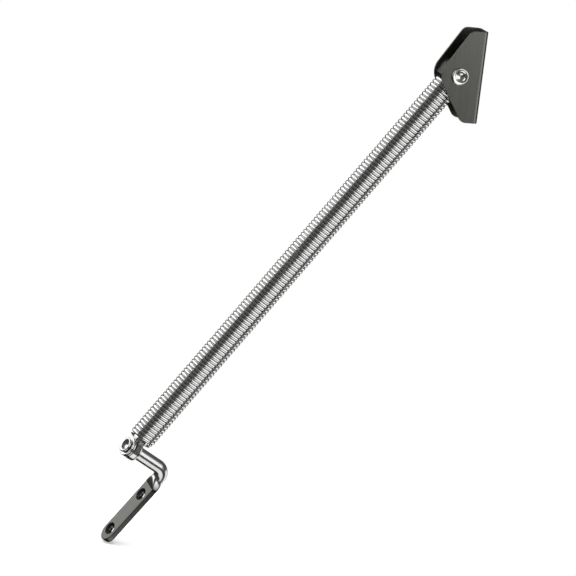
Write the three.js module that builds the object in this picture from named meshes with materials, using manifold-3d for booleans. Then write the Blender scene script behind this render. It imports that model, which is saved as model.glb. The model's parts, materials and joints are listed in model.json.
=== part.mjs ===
// Spring stay for a hatch or shutter: a close-wound coil spring that stands straight as a strut
// and folds sideways.
// A channel bracket is riveted to its top end, and a rod bracket is peened into the eye at its foot.
// Millimetres. The origin is the centre of the upper bracket's mounting face, +X points out of that face,
// +Z runs up along the bracket, and the upper rivet lies along Y.
import * as THREE from "three";
import { mergeVertices } from "three/addons/utils/BufferGeometryUtils.js";
import Module from "manifold-3d";

const wasm = await Module();
wasm.setup();

// ---- Driving dimensions ----
const DEGREE = Math.PI / 180;
const GAP = 0.3; // clearance between neighbouring pieces
const CUT = 1; // how far a cutting tool runs past the face it cuts
const ROUND_SIDES = 24;

// Whole stay
const PIN_TO_PIN = 227.8;
const SPRING_LEAN = 35 * DEGREE; // the spring against the mounting face
const PIN_TWIST = 73 * DEGREE; // the lower pin against the upper rivet, about the spring's axis
const STRAP_SWING = 2 * DEGREE; // the strap against the spring, about the lower pin

// Coil spring
const COIL_OUTER_DIAMETER = 12.5;
const WIRE_DIAMETER = 1.8;
const WIRE_SIDE = 1.6; // a square section with the round wire's area
const SEGMENTS = 13;
const TURNS_PER_SEGMENT = 9;
const STEPS_PER_TURN = 8;
const UPPER_PIN_TO_COIL = 5;
const LOWER_PIN_TO_COIL = 6;

// Upper bracket: a folded channel with two ears
const SHEET = 1.2;
const INNER_WIDTH = 13.2;
const FOLD_RADIUS = 2;
const BASE_LENGTH = 41.8;
const PIN_TO_FACE = 10.9;
const EAR_TIP_RADIUS = 8.5; // about the rivet
const EAR_SLOPE = 32 * DEGREE; // an ear's sloping edges against the base
const EAR_CORNER_RADIUS = 3.8;
const BASE_HOLE_RADIUS = 2.1;
const BASE_HOLE_OFFSET = 14; // from the middle of the base to each screw hole

// Upper rivet: tubular, with its rolled and dished end at the front
const RIVET_RADIUS = 2.5;
const RIVET_HEAD_RADIUS = 3.85;
const RIVET_HEAD_HEIGHT = 1.1;
const RIVET_DISH_RADIUS = 2.1;
const RIVET_DISH_DEPTH = 1.8;
const ROLL = 0.35; // how far the heads' edges are rounded off

// Upper eye plug: its head fills the channel's width
const UPPER_EYE_RADIUS = 6.8;
const UPPER_EYE_FOOT_HALF = 6.2; // half the head's depth where it meets the coil
const PLUG_RADIUS = 3.8;
const PLUG_LENGTH = 11;

// Lower eye plug
const LOWER_EYE_RADIUS = 4.75;
const LOWER_EYE_THICKNESS = 2.6;
const COLLAR_RADIUS = 5.6;
const COLLAR_NECK_RADIUS = 3.6;

// Lower bracket: a rod bent through a right angle and flattened into a strap
const ROD_RADIUS = 3.175;
const LOWER_PIN_RADIUS = 2.4;
const WASHER_RADIUS = 4.7;
const WASHER_THICKNESS = 0.8;
const LOWER_HEAD_RADIUS = 3.6;
const LOWER_HEAD_HEIGHT = 1.2;
const LEG_OFFSET = 21.9; // from the spring's axis to the middle of the strap
const BEND_RADIUS = 5;
const ROD_STEPS = 18;
const INSET = 0.06; // how far the flattened stretch's ends sit inside the rod and the strap they join
const STRAP_THICKNESS = 3;
const STRAP_WIDTH = 9.5;
const STRAP_TIP = 44; // below the lower pin
const FLAT_START = 10.5; // below the lower pin, where the strap has its full width
const FIRST_SCREW = 15.7; // below the lower pin
const SECOND_SCREW = 37.8;
const SCREW_RADIUS = 1.9;
const COUNTERSINK_RADIUS = 3.1;

// ---- Places worked out from them ----
const TURNS = SEGMENTS * TURNS_PER_SEGMENT;
const COIL_RADIUS = (COIL_OUTER_DIAMETER - WIRE_DIAMETER) / 2;
const COIL_TOP = -UPPER_PIN_TO_COIL - WIRE_DIAMETER / 2;
const COIL_FOOT = -PIN_TO_PIN + LOWER_PIN_TO_COIL + WIRE_DIAMETER / 2;
const COIL_PITCH = (COIL_TOP - COIL_FOOT) / TURNS;
const OUTER_WIDTH = INNER_WIDTH + 2 * SHEET;
const UPPER_EYE_WIDTH = INNER_WIDTH - 2 * GAP;
const FIRST_WASHER = LOWER_EYE_THICKNESS / 2 + GAP + WASHER_THICKNESS / 2;
const SECOND_WASHER = FIRST_WASHER + WASHER_THICKNESS + GAP;
const ROD_SHOULDER = -(FIRST_WASHER + WASHER_THICKNESS / 2 + GAP);
const LOWER_HEAD_SEAT = SECOND_WASHER + WASHER_THICKNESS / 2 + GAP;

// ---- Materials ----
const steel = (color, roughness) =>
  new THREE.MeshStandardMaterial({ color, roughness, metalness: 1 });
const POLISHED = steel(0xc9c9c6, 0.18);
const WIRE = steel(0xd4d4d2, 0.15);
const SHEET_STEEL = steel(0x77787a, 0.35);

// ---- Solids ----
// A closed geometry as a manifold-3d solid.
function solidOf(geometry) {
  const bare = geometry.index ? geometry.toNonIndexed() : geometry.clone();
  bare.deleteAttribute("normal");
  bare.deleteAttribute("uv");
  const merged = mergeVertices(bare, 1e-4);
  return new wasm.Manifold(
    new wasm.Mesh({
      numProp: 3,
      vertProperties: merged.attributes.position.array,
      triVerts: new Uint32Array(merged.index.array),
    }),
  );
}

function geometryOf(solid) {
  const mesh = solid.getMesh();
  const geometry = new THREE.BufferGeometry();
  geometry.setAttribute("position", new THREE.BufferAttribute(mesh.vertProperties, 3));
  geometry.setIndex(new THREE.BufferAttribute(mesh.triVerts, 1));
  return geometry;
}

// A shape through the given [x, y, radius] corners, each corner rounded to its radius.
function roundedShape(corners) {
  const shape = new THREE.Shape();
  corners.forEach(([x, y, radius], i) => {
    const [xa, ya] = corners.at(i - 1);
    const [xb, yb] = corners[(i + 1) % corners.length];
    const corner = new THREE.Vector2(x, y);
    const toA = new THREE.Vector2(xa - x, ya - y).normalize();
    const toB = new THREE.Vector2(xb - x, yb - y).normalize();
    const half = Math.acos(toA.dot(toB)) / 2;
    const start = corner.clone().addScaledVector(toA, radius / Math.tan(half));
    const end = corner.clone().addScaledVector(toB, radius / Math.tan(half));
    if (i === 0) shape.moveTo(start.x, start.y);
    else shape.lineTo(start.x, start.y);
    if (radius === 0) return;
    const centre = corner.clone().add(toA.clone().add(toB).setLength(radius / Math.sin(half)));
    const from = start.sub(centre).angle();
    const to = end.sub(centre).angle();
    shape.absarc(centre.x, centre.y, radius, from, to, toA.cross(toB) > 0);
  });
  shape.closePath();
  return shape;
}

function extruded(shape, depth, curveSegments) {
  const options = { depth, bevelEnabled: false, curveSegments };
  return new THREE.ExtrudeGeometry(shape, options).translate(0, 0, -depth / 2);
}

// A plate whose outline is given in X and Z, centred on Y = 0.
function plateAcrossY(shape, thickness, curveSegments = 8) {
  return extruded(shape, thickness, curveSegments).rotateX(Math.PI / 2);
}

// A plate whose outline is given in Y and Z, centred on X = 0.
function plateAcrossX(shape, thickness, curveSegments = 8) {
  return extruded(shape, thickness, curveSegments).rotateX(Math.PI / 2).rotateZ(Math.PI / 2);
}

// A turned body about Z from [radius, height] points that start and end on the axis, lowest first.
function turned(points, sides = ROUND_SIDES) {
  const profile = points.map(([radius, height]) => new THREE.Vector2(radius, height));
  return new THREE.LatheGeometry(profile, sides).rotateX(Math.PI / 2);
}

function barrel(radius, low, high, sides = ROUND_SIDES) {
  return turned([[0, low], [radius, low], [radius, high], [0, high]], sides);
}

// A disc with a hole, as a closed shape.
function ringShape(outer, inner) {
  const shape = new THREE.Shape().absarc(0, 0, outer, 0, 2 * Math.PI, false);
  shape.holes.push(new THREE.Path().absarc(0, 0, inner, 0, 2 * Math.PI, true));
  return shape;
}

// Turns a body made about Z to lie along X, or along Y with its top to the front.
const alongX = (geometry) => geometry.rotateY(Math.PI / 2);
const alongFront = (geometry) => geometry.rotateX(Math.PI / 2);

// ---- Coil ----
// A stretch of right-hand helix, running down from the top, with its section kept square to the radius.
class Helix extends THREE.Curve {
  constructor(firstTurn, lastTurn) {
    super();
    this.firstTurn = firstTurn;
    this.lastTurn = lastTurn;
  }
  turnAt(t) {
    return this.firstTurn + (this.lastTurn - this.firstTurn) * t;
  }
  radialAt(t) {
    const angle = -2 * Math.PI * this.turnAt(t);
    return new THREE.Vector3(Math.cos(angle), Math.sin(angle), 0);
  }
  getPoint(t) {
    return this.radialAt(t).multiplyScalar(COIL_RADIUS).setZ(COIL_TOP - COIL_PITCH * this.turnAt(t));
  }
  getPointAt(t) {
    return this.getPoint(t);
  }
  computeFrenetFrames(steps) {
    const frames = { tangents: [], normals: [], binormals: [] };
    const drop = COIL_PITCH / (2 * Math.PI * COIL_RADIUS);
    for (let i = 0; i <= steps; i++) {
      const radial = this.radialAt(i / steps);
      const along = new THREE.Vector3(radial.y, -radial.x, -drop).normalize();
      frames.tangents.push(along);
      frames.normals.push(radial);
      frames.binormals.push(new THREE.Vector3().crossVectors(along, radial));
    }
    return frames;
  }
}

// The segments part on the coil's +X side, which opens when the spring folds.
function coilSegment(index) {
  const trim = GAP / 2 / (2 * Math.PI * COIL_RADIUS);
  const first = index * TURNS_PER_SEGMENT + trim;
  const last = (index + 1) * TURNS_PER_SEGMENT - trim;
  const half = WIRE_SIDE / 2;
  const section = new THREE.Shape([
    new THREE.Vector2(-half, -half),
    new THREE.Vector2(half, -half),
    new THREE.Vector2(half, half),
    new THREE.Vector2(-half, half),
  ]);
  return new THREE.ExtrudeGeometry(section, {
    steps: TURNS_PER_SEGMENT * STEPS_PER_TURN,
    extrudePath: new Helix(first, last),
    bevelEnabled: false,
  });
}

// ---- Upper bracket ----
// The ears' outline in X and Z. The sloping edges are tangent to the round tip about the rivet.
function earOutline() {
  const end = BASE_LENGTH / 2;
  const reachAt = (z) => PIN_TO_FACE + (EAR_TIP_RADIUS - z * Math.sin(EAR_SLOPE)) / Math.cos(EAR_SLOPE);
  return roundedShape([
    [0, -end, 0],
    [0, end, 0],
    [-reachAt(end), end, EAR_CORNER_RADIUS],
    [-reachAt(0), 0, EAR_TIP_RADIUS],
    [-reachAt(end), -end, EAR_CORNER_RADIUS],
  ]);
}

// The channel's section in X and Y.
function channelSection() {
  const outer = OUTER_WIDTH / 2;
  const inner = INNER_WIDTH / 2;
  const open = -(PIN_TO_FACE + EAR_TIP_RADIUS + CUT);
  return roundedShape([
    [open, -outer, 0],
    [0, -outer, FOLD_RADIUS],
    [0, outer, FOLD_RADIUS],
    [open, outer, 0],
    [open, inner, 0],
    [-SHEET, inner, FOLD_RADIUS - SHEET],
    [-SHEET, -inner, FOLD_RADIUS - SHEET],
    [open, -inner, 0],
  ]);
}

function upperBracket() {
  const channel = extruded(channelSection(), BASE_LENGTH + 2 * CUT, 4);
  const outline = plateAcrossY(earOutline(), OUTER_WIDTH + 2 * CUT, 6);
  const pinHole = alongFront(barrel(RIVET_RADIUS + GAP, -OUTER_WIDTH, OUTER_WIDTH));
  let solid = solidOf(channel).intersect(solidOf(outline));
  solid = solid.subtract(solidOf(pinHole.translate(-PIN_TO_FACE, 0, 0)));
  for (const side of [-1, 1]) {
    const hole = alongX(barrel(BASE_HOLE_RADIUS, -SHEET - CUT, CUT));
    solid = solid.subtract(solidOf(hole.translate(0, 0, side * BASE_HOLE_OFFSET)));
  }
  return geometryOf(solid);
}

// ---- Rivet and pin heads ----
// The points of a rolled head with a dished middle, from its underside to the axis.
function dishedHead(seat, radius, height) {
  const face = seat + height;
  return [
    [radius - ROLL, seat],
    [radius, seat + ROLL],
    [radius, face - ROLL],
    [radius - ROLL, face],
    [RIVET_DISH_RADIUS + ROLL, face],
    [RIVET_DISH_RADIUS, face - ROLL],
    [RIVET_DISH_RADIUS - ROLL, face - RIVET_DISH_DEPTH],
    [0, face - RIVET_DISH_DEPTH],
  ];
}

function upperRivet() {
  const seat = OUTER_WIDTH / 2 + GAP;
  const back = -(seat + RIVET_HEAD_HEIGHT);
  return alongFront(
    turned([
      [0, back],
      [RIVET_HEAD_RADIUS - 2 * ROLL, back],
      [RIVET_HEAD_RADIUS, back + 2 * ROLL],
      [RIVET_HEAD_RADIUS, -seat],
      [RIVET_RADIUS, -seat],
      [RIVET_RADIUS, seat],
      ...dishedHead(seat, RIVET_HEAD_RADIUS, RIVET_HEAD_HEIGHT),
    ]),
  );
}

// ---- Eye plugs ----
// The upper eye turns on the rivet, at the origin, and its plug holds the coil below.
function upperEyePlug() {
  const foot = -(UPPER_PIN_TO_COIL - GAP);
  const shape = new THREE.Shape();
  shape.moveTo(-UPPER_EYE_FOOT_HALF, foot);
  shape.lineTo(UPPER_EYE_FOOT_HALF, foot);
  shape.lineTo(UPPER_EYE_RADIUS, 0);
  shape.absarc(0, 0, UPPER_EYE_RADIUS, 0, Math.PI, false);
  shape.closePath();
  const plug = barrel(PLUG_RADIUS, -(UPPER_PIN_TO_COIL + PLUG_LENGTH), foot + GAP);
  const bore = alongFront(barrel(RIVET_RADIUS + GAP, -INNER_WIDTH, INNER_WIDTH));
  const eye = solidOf(plateAcrossY(shape, UPPER_EYE_WIDTH));
  return geometryOf(eye.add(solidOf(plug)).subtract(solidOf(bore)));
}

// The lower eye turns on the lower pin, along X at the origin, and its plug holds the coil above.
function lowerEyePlug() {
  const seat = LOWER_PIN_TO_COIL - GAP;
  const neck = WASHER_RADIUS + GAP;
  const shape = new THREE.Shape();
  shape.moveTo(COLLAR_NECK_RADIUS, neck + CUT);
  shape.lineTo(-COLLAR_NECK_RADIUS, neck + CUT);
  shape.lineTo(-LOWER_EYE_RADIUS, 0);
  shape.absarc(0, 0, LOWER_EYE_RADIUS, Math.PI, 2 * Math.PI, false);
  shape.closePath();
  const collar = turned([
    [0, neck],
    [COLLAR_NECK_RADIUS, neck],
    [COLLAR_RADIUS, seat],
    [PLUG_RADIUS, seat],
    [PLUG_RADIUS, LOWER_PIN_TO_COIL + PLUG_LENGTH],
    [0, LOWER_PIN_TO_COIL + PLUG_LENGTH],
  ]);
  const bore = alongX(barrel(LOWER_PIN_RADIUS + GAP, -COLLAR_RADIUS, COLLAR_RADIUS));
  const eye = solidOf(plateAcrossX(shape, LOWER_EYE_THICKNESS));
  return geometryOf(eye.add(solidOf(collar)).subtract(solidOf(bore)));
}

// ---- Lower bracket ----
function washer() {
  return plateAcrossX(ringShape(WASHER_RADIUS, LOWER_PIN_RADIUS + GAP), WASHER_THICKNESS, 12);
}

// The round rod's path: straight from its shoulder, then through a right angle into the leg.
class RodPath extends THREE.Curve {
  getPoint(t) {
    const corner = -(LEG_OFFSET - BEND_RADIUS);
    const straight = ROD_SHOULDER - corner;
    const travelled = t * (straight + (BEND_RADIUS * Math.PI) / 2);
    if (travelled <= straight) return new THREE.Vector3(ROD_SHOULDER - travelled, 0, 0);
    const angle = (travelled - straight) / BEND_RADIUS;
    const x = corner - BEND_RADIUS * Math.sin(angle);
    return new THREE.Vector3(x, 0, -BEND_RADIUS * (1 - Math.cos(angle)));
  }
}

function rod() {
  const disc = new THREE.Shape().absarc(0, 0, ROD_RADIUS, 0, 2 * Math.PI, false);
  return new THREE.ExtrudeGeometry(disc, {
    steps: ROD_STEPS,
    extrudePath: new RodPath(),
    bevelEnabled: false,
    curveSegments: ROUND_SIDES / 2,
  });
}

// The stretch where the round rod is hammered out to the strap's thickness and width.
function flattening() {
  const height = FLAT_START - BEND_RADIUS + 2 * CUT;
  const geometry = new THREE.CylinderGeometry(1, 1, height, ROUND_SIDES, 4).rotateX(Math.PI / 2);
  const position = geometry.attributes.position;
  for (let i = 0; i < position.count; i++) {
    const share = THREE.MathUtils.smoothstep(-position.getZ(i), -height / 2 + CUT, height / 2 - CUT);
    const thick = THREE.MathUtils.lerp(ROD_RADIUS, STRAP_THICKNESS / 2, share) - INSET;
    const wide = THREE.MathUtils.lerp(ROD_RADIUS, STRAP_WIDTH / 2, share) - INSET;
    position.setX(i, position.getX(i) * thick);
    position.setY(i, position.getY(i) * wide);
  }
  return geometry.translate(-LEG_OFFSET, 0, -BEND_RADIUS + CUT - height / 2);
}

function screwTool() {
  const face = STRAP_THICKNESS / 2;
  const depth = COUNTERSINK_RADIUS - SCREW_RADIUS;
  return alongX(
    turned([
      [0, -face - CUT],
      [SCREW_RADIUS, -face - CUT],
      [SCREW_RADIUS, face - depth],
      [COUNTERSINK_RADIUS + CUT, face + CUT],
      [0, face + CUT],
    ]),
  );
}

function strap() {
  const half = STRAP_WIDTH / 2;
  const shape = new THREE.Shape();
  shape.moveTo(half, -FLAT_START);
  shape.lineTo(-half, -FLAT_START);
  shape.lineTo(-half, -STRAP_TIP + half);
  shape.absarc(0, -STRAP_TIP + half, half, Math.PI, 2 * Math.PI, false);
  shape.closePath();
  let solid = solidOf(plateAcrossX(shape, STRAP_THICKNESS, 16).translate(-LEG_OFFSET, 0, 0));
  for (const below of [FIRST_SCREW, SECOND_SCREW]) {
    solid = solid.subtract(solidOf(screwTool().translate(-LEG_OFFSET, 0, -below)));
  }
  return solid;
}

function lowerBracket() {
  const pin = turned([
    [0, ROD_SHOULDER - CUT],
    [LOWER_PIN_RADIUS, ROD_SHOULDER - CUT],
    [LOWER_PIN_RADIUS, LOWER_HEAD_SEAT],
    ...dishedHead(LOWER_HEAD_SEAT, LOWER_HEAD_RADIUS, LOWER_HEAD_HEIGHT),
  ]);
  const parts = [rod(), alongX(pin), flattening()].map(solidOf);
  return geometryOf(parts.reduce((whole, part) => whole.add(part), strap()));
}

// ---- Assembly ----
function place(parent, name, geometry, material, x = 0, y = 0, z = 0) {
  const mesh = new THREE.Mesh(geometry, material);
  mesh.name = name;
  mesh.position.set(x, y, z);
  parent.add(mesh);
}

const stay = new THREE.Group();
place(stay, "upper_bracket", upperBracket(), SHEET_STEEL);
place(stay, "upper_rivet", upperRivet(), POLISHED, -PIN_TO_FACE);

// The spring's own frame has the rivet at its origin and the coil running down its Z axis.
const spring = new THREE.Group();
spring.position.x = -PIN_TO_FACE;
spring.rotation.y = SPRING_LEAN;
stay.add(spring);
place(spring, "upper_eye_plug", upperEyePlug(), POLISHED);
for (let i = 0; i < SEGMENTS; i++) {
  place(spring, `coil_${String(i + 1).padStart(2, "0")}`, coilSegment(i), WIRE);
}

// The foot's frame has the lower pin at its origin, along X, with the peened head on the +X side.
const foot = new THREE.Group();
foot.position.z = -PIN_TO_PIN;
foot.rotation.z = -(Math.PI / 2 + PIN_TWIST);
spring.add(foot);
place(foot, "lower_eye_plug", lowerEyePlug(), POLISHED);

const footBracket = new THREE.Group();
footBracket.rotation.x = -STRAP_SWING;
foot.add(footBracket);
place(footBracket, "inner_washer", washer(), POLISHED, -FIRST_WASHER);
place(footBracket, "wave_washer", washer(), POLISHED, FIRST_WASHER);
place(footBracket, "outer_washer", washer(), POLISHED, SECOND_WASHER);
place(footBracket, "lower_bracket", lowerBracket(), POLISHED);

export default stay;
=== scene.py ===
"""Looks of the spring stay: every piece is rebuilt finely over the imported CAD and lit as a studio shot."""
import json
import math

import bmesh
import bpy
from mathutils import Matrix, Vector


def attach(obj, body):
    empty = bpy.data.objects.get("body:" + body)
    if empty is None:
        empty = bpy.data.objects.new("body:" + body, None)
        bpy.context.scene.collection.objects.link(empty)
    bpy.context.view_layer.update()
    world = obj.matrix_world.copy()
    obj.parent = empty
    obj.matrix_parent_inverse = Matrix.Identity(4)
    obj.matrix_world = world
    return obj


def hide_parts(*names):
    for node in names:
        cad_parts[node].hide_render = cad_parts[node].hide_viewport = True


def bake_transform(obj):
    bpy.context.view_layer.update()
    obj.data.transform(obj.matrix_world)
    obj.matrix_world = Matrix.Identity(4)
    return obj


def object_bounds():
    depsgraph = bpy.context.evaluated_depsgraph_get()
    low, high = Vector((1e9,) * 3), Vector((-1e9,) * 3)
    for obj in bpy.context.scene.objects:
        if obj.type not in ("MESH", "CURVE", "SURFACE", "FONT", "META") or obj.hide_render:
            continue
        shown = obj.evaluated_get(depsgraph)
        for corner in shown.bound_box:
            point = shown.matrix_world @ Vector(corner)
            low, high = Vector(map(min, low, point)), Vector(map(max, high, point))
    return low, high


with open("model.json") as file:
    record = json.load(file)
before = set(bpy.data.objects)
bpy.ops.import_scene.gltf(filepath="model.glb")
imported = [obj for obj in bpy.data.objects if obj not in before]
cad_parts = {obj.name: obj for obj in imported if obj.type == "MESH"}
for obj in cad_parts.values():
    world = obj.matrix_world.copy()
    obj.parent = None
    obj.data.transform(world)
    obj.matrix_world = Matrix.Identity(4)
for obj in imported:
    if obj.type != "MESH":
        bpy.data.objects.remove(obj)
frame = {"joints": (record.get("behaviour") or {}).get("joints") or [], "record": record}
CAD_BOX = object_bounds()

# ---- Driving dimensions, in metres, as in the CAD ----
MM = 0.001
COIL_OUTER_DIAMETER = 12.5 * MM
WIRE_DIAMETER = 1.8 * MM
TURNS = 117
SEGMENTS = 13
UPPER_PIN_TO_COIL = 5 * MM
LOWER_PIN_TO_COIL = 6 * MM

SHEET = 1.2 * MM
INNER_WIDTH = 13.2 * MM
FOLD_RADIUS = 2 * MM
BASE_LENGTH = 41.8 * MM
EAR_TIP_RADIUS = 8.5 * MM
EAR_SLOPE = math.radians(32)
EAR_CORNER_RADIUS = 3.8 * MM
BASE_HOLE_RADIUS = 2.1 * MM
BASE_HOLE_OFFSET = 14 * MM

RIVET_RADIUS = 2.5 * MM
RIVET_HEAD_RADIUS = 3.85 * MM
RIVET_HEAD_HEIGHT = 1.1 * MM
DISH_RADIUS = 2.1 * MM
DISH_DEPTH = 1.8 * MM

UPPER_EYE_RADIUS = 6.8 * MM
UPPER_EYE_FOOT_HALF = 6.2 * MM
PLUG_RADIUS = 3.8 * MM
PLUG_LENGTH = 11 * MM
LOWER_EYE_RADIUS = 4.75 * MM
LOWER_EYE_THICKNESS = 2.6 * MM
COLLAR_RADIUS = 5.6 * MM
COLLAR_NECK_RADIUS = 3.6 * MM

ROD_RADIUS = 3.175 * MM
LOWER_PIN_RADIUS = 2.4 * MM
WASHER_RADIUS = 4.7 * MM
WASHER_THICKNESS = 0.8 * MM
LOWER_HEAD_RADIUS = 3.6 * MM
LOWER_HEAD_HEIGHT = 1.2 * MM
LEG_OFFSET = 21.9 * MM
BEND_RADIUS = 5 * MM
STRAP_THICKNESS = 3 * MM
STRAP_WIDTH = 9.5 * MM
STRAP_TIP = 44 * MM
FLAT_START = 10.5 * MM
FIRST_SCREW = 15.7 * MM
SECOND_SCREW = 37.8 * MM
SCREW_RADIUS = 1.9 * MM
COUNTERSINK_RADIUS = 3.1 * MM

GAP = 0.3 * MM
CUT = 1 * MM

# ---- Finish, which the CAD leaves plain ----
EDGE = 0.18 * MM  # how far sheared and turned edges are broken
HOLE_EDGE = 0.1 * MM
WAVE_HEIGHT = 0.12 * MM
GRAIN_DEPTH = 0.02 * MM
SHARP = math.radians(38)  # edges steeper than this are shaded sharp
ROUND = 64  # sides of a turned piece
WIRE_STEPS = 40  # steps in each turn of the coil
WIRE_SIDES = 14
EYE_STEPS = 40
HEAD_STEPS = 14
BEND_STEPS = 24
TIP_STEPS = 24
ROUND_POWER = 2  # a section's power: 2 is an ellipse, and a higher one is squarer
FLAT_POWER = 8
LEAST_RADIUS = 0.01 * MM  # how near a lofted head comes to its axis
LEAST_TIP = 0.2 * MM  # half the strap's width at the end of its tip

# ---- Camera ----
CAMERA_AZIMUTH = math.radians(-11.16)
CAMERA_ELEVATION = math.radians(13.65)
CAMERA_ROLL = math.radians(6.42)
CAMERA_DISTANCE = 1.0008
CAMERA_AIM = Vector((-0.07901, -0.00981, -0.10263))
CAMERA_LENS = 137.5  # millimetres
SENSOR_WIDTH = 36  # millimetres

# ---- Places, from the frame ----
JOINTS = {joint["name"]: joint for joint in frame["joints"]}
MOUNTS = {mount["name"]: mount for mount in frame["record"]["mounts"]}
UPPER_PIN = Vector(JOINTS["upper_pivot"]["pos_m"])
LOWER_PIN = Vector(JOINTS["lower_pivot"]["pos_m"])
RIVET_AXIS = Vector(JOINTS["upper_pivot"]["axis"])
PIN_AXIS = Vector(JOINTS["lower_pivot"]["axis"]).normalized()
SPRING_AXIS = (UPPER_PIN - LOWER_PIN).normalized()
PIN_TO_PIN = (UPPER_PIN - LOWER_PIN).length
PIN_TO_FACE = -UPPER_PIN.x
OUTER_WIDTH = INNER_WIDTH + 2 * SHEET


def axes(x, z, origin):
    """A placement whose local +X and +Z run along x and z."""
    z = z.normalized()
    x = (x - z * x.dot(z)).normalized()
    turn = Matrix((x, z.cross(x), z)).transposed().to_4x4()
    return Matrix.Translation(origin) @ turn


def strap_direction():
    """From the lower pin down the strap, square to the pin."""
    to_mount = Vector(MOUNTS["strap_back"]["pos_m"]) - LOWER_PIN
    return (to_mount - PIN_AXIS * to_mount.dot(PIN_AXIS)).normalized()


SPRING_PLACE = axes(RIVET_AXIS.cross(SPRING_AXIS), SPRING_AXIS, UPPER_PIN)
LOWER_EYE_PLACE = axes(PIN_AXIS, SPRING_AXIS, LOWER_PIN)
STRAP_PLACE = axes(PIN_AXIS, -strap_direction(), LOWER_PIN)
UPPER_PIN_PLACE = Matrix.Translation(UPPER_PIN)
TO_X = Matrix.Rotation(math.pi / 2, 4, "Y")  # turns a body made about Z to lie along X
TO_FRONT = Matrix.Rotation(math.pi / 2, 4, "X")  # turns a body made about Z so that its top faces -Y

# ---- Mesh tools ----


def piece(name, vertices, faces, place=Matrix.Identity(4), smooth=True):
    """A new object from plain vertices and faces, with its normals facing out."""
    mesh = bpy.data.meshes.new(name)
    mesh.from_pydata([tuple(place @ Vector(v)) for v in vertices], [], faces)
    tidy = bmesh.new()
    tidy.from_mesh(mesh)
    bmesh.ops.recalc_face_normals(tidy, faces=tidy.faces)
    tidy.to_mesh(mesh)
    tidy.free()
    for polygon in mesh.polygons:
        polygon.use_smooth = smooth
    made = bpy.data.objects.new(name, mesh)
    bpy.context.scene.collection.objects.link(made)
    return made


def loft(name, rings, place=Matrix.Identity(4)):
    """A closed body through rings of equal size, capped at both ends."""
    count = len(rings[0])
    vertices = [v for ring in rings for v in ring]
    faces = [tuple(range(count)), tuple(range(len(vertices) - count, len(vertices)))]
    for i in range(len(rings) - 1):
        low, high = i * count, (i + 1) * count
        for j in range(count):
            k = (j + 1) % count
            faces.append((low + j, low + k, high + k, high + j))
    return piece(name, vertices, faces, place)


def turned(name, profile, place=Matrix.Identity(4)):
    """A turned body about Z. The profile is [radius, height] points and closes on itself."""
    vertices, faces = [], []
    for i in range(ROUND):
        angle = 2 * math.pi * i / ROUND
        for radius, height in profile:
            vertices.append((radius * math.cos(angle), radius * math.sin(angle), height))
    count = len(profile)
    for i in range(ROUND):
        low, high = i * count, (i + 1) % ROUND * count
        for j in range(count):
            k = (j + 1) % count
            faces.append((low + j, low + k, high + k, high + j))
    return piece(name, vertices, faces, place)


def extruded(name, outline, low, high, place=Matrix.Identity(4)):
    """An outline in X and Y, extruded along Z."""
    return loft(name, [[(x, y, z) for x, y in outline] for z in (low, high)], place)


def arc(centre, radius, start, end, steps):
    """Points along an arc, both ends included. Angles are in radians."""
    angles = [start + (end - start) * i / steps for i in range(steps + 1)]
    return [(centre[0] + radius * math.cos(t), centre[1] + radius * math.sin(t)) for t in angles]


def rounded(corners, steps=10):
    """The outline through [x, y, radius] corners, each rounded to its radius."""
    outline = []
    for i, (x, y, radius) in enumerate(corners):
        here = Vector((x, y))
        before = (Vector(corners[i - 1][:2]) - here).normalized()
        after = (Vector(corners[(i + 1) % len(corners)][:2]) - here).normalized()
        if radius == 0:
            outline.append((x, y))
            continue
        half = before.angle(after) / 2
        centre = here + (before + after).normalized() * (radius / math.sin(half))
        first = here + before * (radius / math.tan(half)) - centre
        last = here + after * (radius / math.tan(half)) - centre
        start = math.atan2(first.y, first.x)
        turn = math.remainder(math.atan2(last.y, last.x) - start, 2 * math.pi)
        outline += arc(centre, radius, start, start + turn, steps)
    return outline


def merge_axis(made):
    """Joins the vertices that a turned profile puts on its axis, and drops what vanishes there."""
    tidy = bmesh.new()
    tidy.from_mesh(made.data)
    bmesh.ops.remove_doubles(tidy, verts=tidy.verts, dist=1e-7)
    bmesh.ops.dissolve_degenerate(tidy, edges=tidy.edges, dist=1e-7)
    bare = [edge for edge in tidy.edges if not edge.link_faces]
    bmesh.ops.delete(tidy, geom=bare, context="EDGES")
    bmesh.ops.recalc_face_normals(tidy, faces=tidy.faces)
    tidy.to_mesh(made.data)
    tidy.free()


def apply_modifiers(made):
    bpy.context.view_layer.update()
    evaluated = made.evaluated_get(bpy.context.evaluated_depsgraph_get())
    mesh = bpy.data.meshes.new_from_object(evaluated)
    made.modifiers.clear()
    made.data = mesh


def combine(made, tool, operation):
    """Cuts or joins made with tool, which is used up."""
    cutter = made.modifiers.new("combine", "BOOLEAN")
    cutter.operation = operation
    cutter.solver = "EXACT"
    cutter.object = tool
    apply_modifiers(made)
    bpy.data.objects.remove(tool)


def break_edges(made, width=EDGE, limit=35):
    """Rounds off the sharp edges, and keeps the flat faces flat."""
    bevel = made.modifiers.new("edges", "BEVEL")
    bevel.width = width
    bevel.segments = 3
    bevel.limit_method = "ANGLE"
    bevel.angle_limit = math.radians(limit)
    apply_modifiers(made)
    made.data.set_sharp_from_angle(angle=SHARP)
    weigh = made.modifiers.new("weigh", "WEIGHTED_NORMAL")
    weigh.weight = 100
    weigh.keep_sharp = True
    apply_modifiers(made)


def barrel(name, radius, low, high, place=Matrix.Identity(4)):
    return extruded(name, arc((0, 0), radius, 0, 2 * math.pi * (1 - 1 / ROUND), ROUND - 1), low, high, place)


# ---- Materials ----


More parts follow.
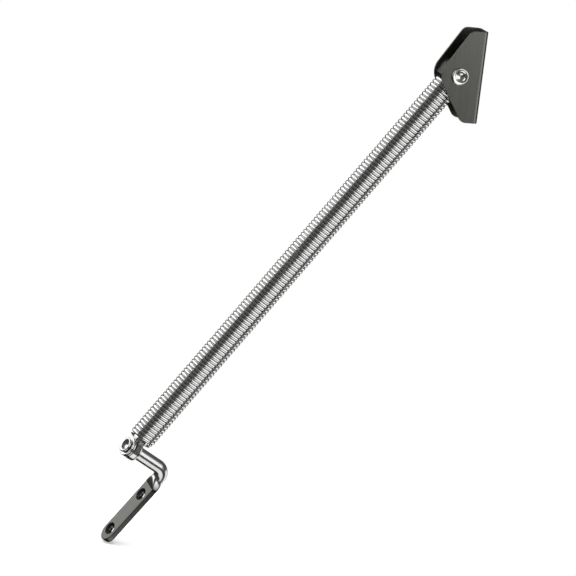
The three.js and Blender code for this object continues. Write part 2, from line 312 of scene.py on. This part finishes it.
def steel(name, colour, roughness, grain, bump):
    """Stainless steel. grain is the noise's scale along X, Y and Z, and bump its depth."""
    material = bpy.data.materials.new(name)
    material.use_nodes = True
    nodes, links = material.node_tree.nodes, material.node_tree.links
    shader = nodes["Principled BSDF"]
    shader.inputs["Metallic"].default_value = 1
    place = nodes.new("ShaderNodeTexCoord")
    stretch = nodes.new("ShaderNodeMapping")
    stretch.inputs["Scale"].default_value = grain
    noise = nodes.new("ShaderNodeTexNoise")
    noise.inputs["Scale"].default_value = 1
    noise.inputs["Detail"].default_value = 6
    links.new(place.outputs["Object"], stretch.inputs["Vector"])
    links.new(stretch.outputs["Vector"], noise.inputs["Vector"])

    tint = nodes.new("ShaderNodeValToRGB")
    tint.color_ramp.elements[0].position = 0.3
    tint.color_ramp.elements[0].color = (*[c * 0.9 for c in colour], 1)
    tint.color_ramp.elements[1].position = 0.7
    tint.color_ramp.elements[1].color = (*colour, 1)
    links.new(noise.outputs["Fac"], tint.inputs["Fac"])
    links.new(tint.outputs["Color"], shader.inputs["Base Color"])

    spread = nodes.new("ShaderNodeMapRange")
    spread.inputs["To Min"].default_value = roughness * 0.8
    spread.inputs["To Max"].default_value = roughness * 1.25
    links.new(noise.outputs["Fac"], spread.inputs["Value"])
    links.new(spread.outputs["Result"], shader.inputs["Roughness"])

    relief = nodes.new("ShaderNodeBump")
    relief.inputs["Strength"].default_value = bump
    relief.inputs["Distance"].default_value = GRAIN_DEPTH
    links.new(noise.outputs["Fac"], relief.inputs["Height"])
    links.new(relief.outputs["Normal"], shader.inputs["Normal"])
    return material


WIRE_STEEL = steel("wire_steel", (0.78, 0.78, 0.77), 0.16, (900, 900, 900), 0.15)
POLISHED_STEEL = steel("polished_steel", (0.72, 0.72, 0.71), 0.17, (500, 500, 500), 0.12)
SHEET_STEEL = steel("sheet_steel", (0.17, 0.17, 0.155), 0.3, (1500, 1500, 60), 0.35)
RIVET_STEEL = steel("rivet_steel", (0.86, 0.86, 0.85), 0.2, (700, 700, 700), 0.15)
ROD_STEEL = steel("rod_steel", (0.7, 0.7, 0.69), 0.2, (600, 600, 600), 0.2)


def fade_to_flat_with_painted_shade(material, origin, along, start, end, colour):
    """Darkens a steel towards colour, from start to end as measured from origin in the direction along. The
    dark colour is partly the duller finish of the hammered flat, partly painted shade.
    """
    nodes, links = material.node_tree.nodes, material.node_tree.links
    shader = nodes["Principled BSDF"]
    bright = shader.inputs["Base Color"].links[0].from_socket
    place = nodes.new("ShaderNodeTexCoord")
    offset = nodes.new("ShaderNodeVectorMath")
    offset.operation = "SUBTRACT"
    offset.inputs[1].default_value = origin
    distance = nodes.new("ShaderNodeVectorMath")
    distance.operation = "DOT_PRODUCT"
    distance.inputs[1].default_value = along
    share = nodes.new("ShaderNodeMapRange")
    share.interpolation_type = "SMOOTHSTEP"
    share.inputs["From Min"].default_value = start
    share.inputs["From Max"].default_value = end
    mix = nodes.new("ShaderNodeMix")
    mix.data_type = "RGBA"
    mix.inputs["B"].default_value = (*colour, 1)
    links.new(place.outputs["Object"], offset.inputs[0])
    links.new(offset.outputs["Vector"], distance.inputs[0])
    links.new(distance.outputs["Value"], share.inputs["Value"])
    links.new(share.outputs["Result"], mix.inputs["Factor"])
    links.new(bright, mix.inputs["A"])
    links.new(mix.outputs["Result"], shader.inputs["Base Color"])


def finish_piece(made, body, nodes, material):
    """Gives a piece its material and its body, and hides the CAD nodes that it stands for."""
    made.data.materials.clear()
    made.data.materials.append(material)
    if body:
        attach(made, body)
    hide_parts(*nodes)
    return made


# ---- Coil ----
COIL_RADIUS = (COIL_OUTER_DIAMETER - WIRE_DIAMETER) / 2
COIL_TOP = -UPPER_PIN_TO_COIL - WIRE_DIAMETER / 2
COIL_FOOT = -PIN_TO_PIN + LOWER_PIN_TO_COIL + WIRE_DIAMETER / 2
COIL_PITCH = (COIL_TOP - COIL_FOOT) / TURNS
TURNS_PER_SEGMENT = TURNS / SEGMENTS


def coil_ring(turn):
    """One round section of the wire."""
    angle = -2 * math.pi * turn
    radial = Vector((math.cos(angle), math.sin(angle), 0))
    along = Vector((radial.y * COIL_RADIUS, -radial.x * COIL_RADIUS, -COIL_PITCH / (2 * math.pi)))
    side = along.normalized().cross(radial)
    centre = radial * COIL_RADIUS + Vector((0, 0, COIL_TOP - COIL_PITCH * turn))
    ring = []
    for i in range(WIRE_SIDES):
        t = 2 * math.pi * i / WIRE_SIDES
        ring.append(centre + (radial * math.cos(t) + side * math.sin(t)) * (WIRE_DIAMETER / 2))
    return ring


def make_coil():
    """One wire in lengths that each run from the middle of one CAD segment to the middle of the next."""
    for i in range(SEGMENTS - 1):
        middle = (i + 0.5) * TURNS_PER_SEGMENT
        first = 0 if i == 0 else middle
        last = TURNS if i == SEGMENTS - 2 else middle + TURNS_PER_SEGMENT
        steps = round((last - first) * WIRE_STEPS)
        rings = [coil_ring(first + (last - first) * s / steps) for s in range(steps + 1)]
        wire = loft(f"coil_wire_{i + 1:02d}", rings, SPRING_PLACE)
        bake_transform(wire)
        nodes = [f"coil_{i + 1:02d}"] + ([f"coil_{SEGMENTS:02d}"] if i == SEGMENTS - 2 else [])
        finish_piece(wire, None, nodes, WIRE_STEEL)


# ---- Upper bracket ----


def ear_outline():
    """In X and Z about the rivet's own height, with the sloping edges tangent to the round tip."""
    end = BASE_LENGTH / 2

    def reach(z):
        return PIN_TO_FACE + (EAR_TIP_RADIUS - z * math.sin(EAR_SLOPE)) / math.cos(EAR_SLOPE)

    return rounded([
        (0, -end, 0),
        (0, end, 0),
        (-reach(end), end, EAR_CORNER_RADIUS),
        (-reach(0), 0, EAR_TIP_RADIUS),
        (-reach(end), -end, EAR_CORNER_RADIUS),
    ], 16)


def channel_section():
    outer, inner = OUTER_WIDTH / 2, INNER_WIDTH / 2
    mouth = -(PIN_TO_FACE + EAR_TIP_RADIUS + CUT)
    return rounded([
        (mouth, -outer, 0),
        (0, -outer, FOLD_RADIUS),
        (0, outer, FOLD_RADIUS),
        (mouth, outer, 0),
        (mouth, inner, 0),
        (-SHEET, inner, FOLD_RADIUS - SHEET),
        (-SHEET, -inner, FOLD_RADIUS - SHEET),
        (mouth, -inner, 0),
    ], 8)


def make_upper_bracket():
    half = BASE_LENGTH / 2 + CUT
    bracket = extruded("bracket_channel", channel_section(), -half, half)
    reach = OUTER_WIDTH / 2 + CUT
    ears = extruded("ears", ear_outline(), -reach, reach, TO_FRONT)
    combine(bracket, ears, "INTERSECT")
    combine(bracket, barrel("pin_hole", RIVET_RADIUS + GAP, -reach, reach, UPPER_PIN_PLACE @ TO_FRONT),
            "DIFFERENCE")
    for side in (-1, 1):
        place = Matrix.Translation((0, 0, side * BASE_HOLE_OFFSET)) @ TO_X
        combine(bracket, barrel("screw_hole", BASE_HOLE_RADIUS, -SHEET - CUT, CUT, place), "DIFFERENCE")
    break_edges(bracket, EDGE * 2)
    finish_piece(bracket, "bracket", ["upper_bracket"], SHEET_STEEL)


# ---- Rivet and washers ----


def dished_head(seat, radius, height):
    """A rolled rim round a smooth dish, from the head's underside in to the axis."""
    face = seat + height
    rim = height / 2
    points = arc((radius - rim, seat + rim), rim, -math.pi / 2, math.pi / 2, 12)
    lip = (radius - rim + DISH_RADIUS) / 2
    for i in range(1, HEAD_STEPS + 1):
        share = i / HEAD_STEPS
        points.append((lip * (1 - share), face - DISH_DEPTH * (1 - (1 - share) ** 2)))
    return points


def make_rivet():
    seat = OUTER_WIDTH / 2 + GAP / 4
    back = -(seat + RIVET_HEAD_HEIGHT)
    dome = [(RIVET_HEAD_RADIUS * math.sin(t), -seat - RIVET_HEAD_HEIGHT * math.cos(t))
            for t in (math.pi / 2 * i / HEAD_STEPS for i in range(HEAD_STEPS + 1))]
    profile = [(0, back)] + dome[1:] + [(RIVET_RADIUS, -seat), (RIVET_RADIUS, seat)]
    rivet = turned("tubular_rivet", profile + dished_head(seat, RIVET_HEAD_RADIUS, RIVET_HEAD_HEIGHT),
                   UPPER_PIN_PLACE @ TO_FRONT)
    merge_axis(rivet)
    rivet.data.set_sharp_from_angle(angle=SHARP)
    finish_piece(rivet, "bracket", ["upper_rivet"], RIVET_STEEL)


def ring_profile(inner, outer, low, high):
    """A ring's section with its outer corners rounded."""
    r = min(EDGE * 1.5, (high - low) / 3)
    return ([(inner, low)] + arc((outer - r, low + r), r, -math.pi / 2, 0, 4)
            + arc((outer - r, high - r), r, 0, math.pi / 2, 4) + [(inner, high)])


def make_washers():
    first = LOWER_EYE_THICKNESS / 2 + GAP
    second = first + WASHER_THICKNESS + GAP
    lows = {"inner_washer": -first - WASHER_THICKNESS, "wave_washer": first, "outer_washer": second}
    for name, low in lows.items():
        profile = ring_profile(LOWER_PIN_RADIUS + GAP / 2, WASHER_RADIUS, low, low + WASHER_THICKNESS)
        ring = turned(f"{name}_ring", profile)
        if name == "wave_washer":
            for vertex in ring.data.vertices:
                vertex.co.z += WAVE_HEIGHT * math.cos(3 * math.atan2(vertex.co.y, vertex.co.x))
        ring.data.set_sharp_from_angle(angle=SHARP)
        ring.data.transform(STRAP_PLACE @ TO_X)
        finish_piece(ring, "strap", [name], POLISHED_STEEL)


# ---- Eye plugs ----


def make_upper_eye():
    """A head as wide as the channel, round at the top, over the plug that holds the coil."""
    foot = -(UPPER_PIN_TO_COIL - GAP)
    outline = [(-UPPER_EYE_FOOT_HALF, foot), (UPPER_EYE_FOOT_HALF, foot)]
    outline += arc((0, 0), UPPER_EYE_RADIUS, 0, math.pi, EYE_STEPS)
    half = INNER_WIDTH / 2 - GAP
    eye = extruded("upper_eye", outline, -half, half, TO_FRONT)
    combine(eye, barrel("plug", PLUG_RADIUS, -(UPPER_PIN_TO_COIL + PLUG_LENGTH), foot + GAP), "UNION")
    combine(eye, barrel("bore", RIVET_RADIUS + GAP, -INNER_WIDTH, INNER_WIDTH, TO_FRONT), "DIFFERENCE")
    break_edges(eye, EDGE * 2)
    eye.data.transform(SPRING_PLACE)
    finish_piece(eye, "spring_top", ["upper_eye_plug"], SHEET_STEEL)


def make_lower_eye():
    seat = LOWER_PIN_TO_COIL - GAP
    neck = WASHER_RADIUS + GAP
    outline = [(COLLAR_NECK_RADIUS, neck + GAP), (-COLLAR_NECK_RADIUS, neck + GAP)]
    outline += arc((0, 0), LOWER_EYE_RADIUS, math.pi, 2 * math.pi, EYE_STEPS)
    half = LOWER_EYE_THICKNESS / 2
    upright = Matrix.Rotation(math.pi / 2, 4, "Z") @ Matrix.Rotation(math.pi / 2, 4, "X")
    eye = extruded("lower_eye", outline, -half, half, upright)
    collar = turned("collar", [
        (0, neck), (COLLAR_NECK_RADIUS, neck), (COLLAR_RADIUS, seat), (PLUG_RADIUS, seat),
        (PLUG_RADIUS, LOWER_PIN_TO_COIL + PLUG_LENGTH), (0, LOWER_PIN_TO_COIL + PLUG_LENGTH),
    ])
    merge_axis(collar)
    combine(eye, collar, "UNION")
    combine(eye, barrel("bore", LOWER_PIN_RADIUS + GAP, -CUT - half, CUT + half, TO_X), "DIFFERENCE")
    break_edges(eye)
    eye.data.transform(LOWER_EYE_PLACE)
    finish_piece(eye, "spring_foot", ["lower_eye_plug"], POLISHED_STEEL)


# ---- Lower bracket ----
SECTION_SIDES = 64


def section(centre, across, thick, wide, power):
    """A ring about centre: thick is its half size along across, and wide its half size along Y."""
    ring = []
    for i in range(SECTION_SIDES):
        t = 2 * math.pi * i / SECTION_SIDES
        c, s = math.cos(t), math.sin(t)
        x = math.copysign(abs(c) ** (2 / power), c) * thick
        y = math.copysign(abs(s) ** (2 / power), s) * wide
        ring.append(centre + across * x + Vector((0, y, 0)))
    return ring


def rod_sections():
    """From the peened head along the pin and the arm, in the strap's own frame."""
    seat = LOWER_EYE_THICKNESS / 2 + 3 * GAP + 2 * WASHER_THICKNESS
    shoulder = -(LOWER_EYE_THICKNESS / 2 + 2 * GAP + WASHER_THICKNESS)
    up = Vector((0, 0, 1))
    head = list(reversed(dished_head(seat, LOWER_HEAD_RADIUS, LOWER_HEAD_HEIGHT)))
    profile = [(max(radius, LEAST_RADIUS), x) for radius, x in head]
    profile += [(LOWER_PIN_RADIUS, seat), (LOWER_PIN_RADIUS, shoulder)]
    profile += [(ROD_RADIUS - EDGE, shoulder), (ROD_RADIUS, shoulder - EDGE)]
    return [section(Vector((x, 0, 0)), up, radius, radius, ROUND_POWER) for radius, x in profile]


def bend_sections():
    corner = -(LEG_OFFSET - BEND_RADIUS)
    rings = []
    for i in range(BEND_STEPS + 1):
        angle = math.pi / 2 * i / BEND_STEPS
        centre = Vector((corner - BEND_RADIUS * math.sin(angle), 0, -BEND_RADIUS * (1 - math.cos(angle))))
        across = Vector((-math.sin(angle), 0, math.cos(angle)))
        rings.append(section(centre, across, ROD_RADIUS, ROD_RADIUS, ROUND_POWER))
    return rings


def strap_sections():
    """The leg as it is hammered flat, the strap, and its round tip."""
    across, half = Vector((-1, 0, 0)), STRAP_WIDTH / 2
    rings = []
    for i in range(1, BEND_STEPS + 1):
        share = i / BEND_STEPS
        ease = share * share * (3 - 2 * share)
        thick = ROD_RADIUS + (STRAP_THICKNESS / 2 - ROD_RADIUS) * ease
        wide = ROD_RADIUS + (half - ROD_RADIUS) * ease
        z = -BEND_RADIUS - (FLAT_START - BEND_RADIUS) * share
        power = ROUND_POWER + (FLAT_POWER - ROUND_POWER) * ease
        rings.append(section(Vector((-LEG_OFFSET, 0, z)), across, thick, wide, power))
    for i in range(TIP_STEPS + 1):
        angle = math.pi / 2 * i / TIP_STEPS
        wide = max(half * math.cos(angle), LEAST_TIP)
        z = -(STRAP_TIP - half) - half * math.sin(angle)
        thick = STRAP_THICKNESS / 2 - EDGE * (1 - math.cos(angle))
        rings.append(section(Vector((-LEG_OFFSET, 0, z)), across, thick, wide, FLAT_POWER))
    return rings


def make_lower_bracket():
    bracket = loft("rod_and_strap", rod_sections() + bend_sections() + strap_sections())
    face = STRAP_THICKNESS / 2
    depth = COUNTERSINK_RADIUS - SCREW_RADIUS
    for below in (FIRST_SCREW, SECOND_SCREW):
        tool = turned("screw_tool", [
            (0, -face - CUT), (SCREW_RADIUS, -face - CUT), (SCREW_RADIUS, face - depth),
            (COUNTERSINK_RADIUS + CUT, face + CUT), (0, face + CUT),
        ], Matrix.Translation((-LEG_OFFSET, 0, -below)) @ TO_X)
        merge_axis(tool)
        combine(bracket, tool, "DIFFERENCE")
    break_edges(bracket, HOLE_EDGE, 50)
    bracket.data.transform(STRAP_PLACE)
    # The flat strap is darkened to near-black steel: partly its duller hammered finish, partly painted shade
    # that keeps its face dark under the lights.
    fade_to_flat_with_painted_shade(ROD_STEEL, LOWER_PIN, strap_direction(), BEND_RADIUS, FLAT_START, (0.11, 0.11, 0.103))
    finish_piece(bracket, "strap", ["lower_bracket"], ROD_STEEL)


# ---- Studio ----
TO_CAMERA = Vector((
    math.sin(CAMERA_AZIMUTH) * math.cos(CAMERA_ELEVATION),
    -math.cos(CAMERA_AZIMUTH) * math.cos(CAMERA_ELEVATION),
    math.sin(CAMERA_ELEVATION),
))
COIL_LEFT = TO_CAMERA.cross(SPRING_AXIS).normalized()  # square to the coil, to the camera's left
BACKDROP_REACH = 8
FLOOR_REACH = 90 * MM
FLOOR_GLOW = 0.3
FLOOR_LIGHT = 2.9
FLOOR_LIGHT_SPREAD = math.radians(70)
STUDIO_LOW = 0.03
STUDIO_HIGH = 0.14


def panel(name, angle, rise, distance, size, power):
    """A soft light beside the coil, turned by angle degrees from the camera towards the coil's left side."""
    turn = math.radians(angle)
    towards = TO_CAMERA * math.cos(turn) + COIL_LEFT * math.sin(turn) + SPRING_AXIS * rise
    lamp = bpy.data.lights.new(name, "AREA")
    lamp.shape = "RECTANGLE"
    lamp.size, lamp.size_y = size
    lamp.energy = power
    made = bpy.data.objects.new(name, lamp)
    place = axes(SPRING_AXIS.cross(towards), towards, CAMERA_AIM + towards.normalized() * distance)
    made.matrix_world = place
    made.visible_camera = False
    bpy.context.scene.collection.objects.link(made)


def plain_material(name, colour, glow):
    """A matt stage material that also shines by itself, so that it stays pale."""
    material = bpy.data.materials.new(name)
    material.use_nodes = True
    shader = material.node_tree.nodes["Principled BSDF"]
    shader.inputs["Base Color"].default_value = (*colour, 1)
    shader.inputs["Roughness"].default_value = 1
    shader.inputs["Specular IOR Level"].default_value = 0
    shader.inputs["Emission Color"].default_value = (1, 1, 1, 1)
    shader.inputs["Emission Strength"].default_value = glow
    return material


def make_floor():
    """A patch of pale floor under the strap, which the steel doesn't mirror, to keep its dark side dark."""
    foot = Vector(MOUNTS["strap_back"]["pos_m"])
    low = CAD_BOX[0][2]
    corners = [(foot.x + x * FLOOR_REACH, foot.y + y * FLOOR_REACH, low)
               for x, y in ((-1, -1), (1, -1), (1, 1), (-1, 1))]
    floor = piece("floor", corners, [(0, 1, 2, 3)], smooth=False)
    floor.data.materials.append(plain_material("floor", (0.8, 0.8, 0.8), FLOOR_GLOW))
    floor.visible_glossy = False


def make_backdrop():
    """A pale wall all round, which only the camera sees."""
    wall = barrel("backdrop", BACKDROP_REACH, -BACKDROP_REACH, BACKDROP_REACH)
    wall.data.materials.append(plain_material("backdrop", (0, 0, 0), 1))
    wall.visible_glossy = False
    wall.visible_diffuse = False
    wall.visible_shadow = False


def make_world():
    """A dark studio that gets lighter overhead. It is what the steel mirrors between the lights."""
    world = bpy.data.worlds.new("studio")
    bpy.context.scene.world = world
    world.use_nodes = True
    nodes, links = world.node_tree.nodes, world.node_tree.links
    place = nodes.new("ShaderNodeTexCoord")
    split = nodes.new("ShaderNodeSeparateXYZ")
    height = nodes.new("ShaderNodeMapRange")
    height.inputs["From Min"].default_value = -1
    ramp = nodes.new("ShaderNodeValToRGB")
    ramp.color_ramp.elements[0].position = 0
    ramp.color_ramp.elements[0].color = (*[STUDIO_LOW] * 3, 1)
    ramp.color_ramp.elements[1].position = 1
    ramp.color_ramp.elements[1].color = (*[STUDIO_HIGH] * 3, 1)
    links.new(place.outputs["Generated"], split.inputs["Vector"])
    links.new(split.outputs["Z"], height.inputs["Value"])
    links.new(height.outputs["Result"], ramp.inputs["Fac"])
    links.new(ramp.outputs["Color"], nodes["Background"].inputs["Color"])


def make_camera():
    right = Vector((math.cos(CAMERA_AZIMUTH), math.sin(CAMERA_AZIMUTH), 0))
    up = TO_CAMERA.cross(right)
    turn = Matrix((right, up, TO_CAMERA)).transposed() @ Matrix.Rotation(CAMERA_ROLL, 3, "Z")
    lens = bpy.data.cameras.new("camera")
    lens.lens = CAMERA_LENS
    lens.sensor_width = SENSOR_WIDTH
    lens.clip_start = 0.01
    camera = bpy.data.objects.new("camera", lens)
    camera.matrix_world = Matrix.Translation(CAMERA_AIM + TO_CAMERA * CAMERA_DISTANCE) @ turn.to_4x4()
    bpy.context.scene.collection.objects.link(camera)
    bpy.context.scene.camera = camera


def make_floor_light():
    """Even light from straight above for the floor alone, which gives it a soft shadow."""
    lamp = bpy.data.lights.new("floor_light", "SUN")
    lamp.energy = FLOOR_LIGHT
    lamp.angle = FLOOR_LIGHT_SPREAD
    made = bpy.data.objects.new("floor_light", lamp)
    made.visible_glossy = False
    bpy.context.scene.collection.objects.link(made)


def make_lights():
    panel("left_panel", 96, 0, 0.8, (1.34, 0.9), 6.4)
    panel("right_panel", -44, 0.7, 1, (1.3, 1), 5.8)
    panel("low_panel", -62, -1.1, 1, (1, 0.9), 3.2)
    panel("rim_panel", -125, 0, 0.9, (0.7, 0.6), 1.6)
    make_floor_light()


# ---- Scene ----
make_camera()
make_world()
make_floor()
make_backdrop()
make_lights()
make_coil()
make_upper_bracket()
make_rivet()
make_upper_eye()
make_lower_eye()
make_washers()
make_lower_bracket()
bpy.context.scene.view_settings.view_transform = "Standard"
